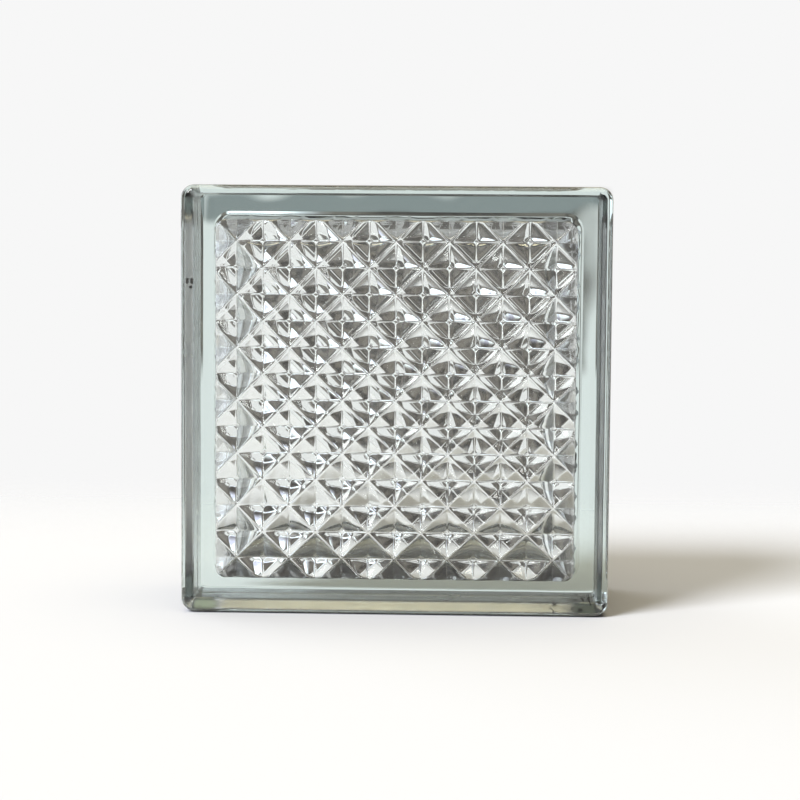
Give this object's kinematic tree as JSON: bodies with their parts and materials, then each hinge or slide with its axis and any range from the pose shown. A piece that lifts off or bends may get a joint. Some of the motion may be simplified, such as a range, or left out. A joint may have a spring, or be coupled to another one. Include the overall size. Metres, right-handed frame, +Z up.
{
  "type": "hollow glass block",
  "caption": "Square hollow block of clear pressed glass for walls, with a diamond point relief inside both faces and a recessed mortar channel round its edge",
  "frame": {"origin": "middle of the underside, on the plane that the two bottom rims rest on", "axes": "+Z up, -Y out of the front face, X along the bottom edge"},
  "size_m": [0.19, 0.08, 0.19],
  "materials": {
    "clear_glass": "polished"
  },
  "bodies": {
    "root": {"glass_block": "clear_glass"}
  },
  "joints": []
}
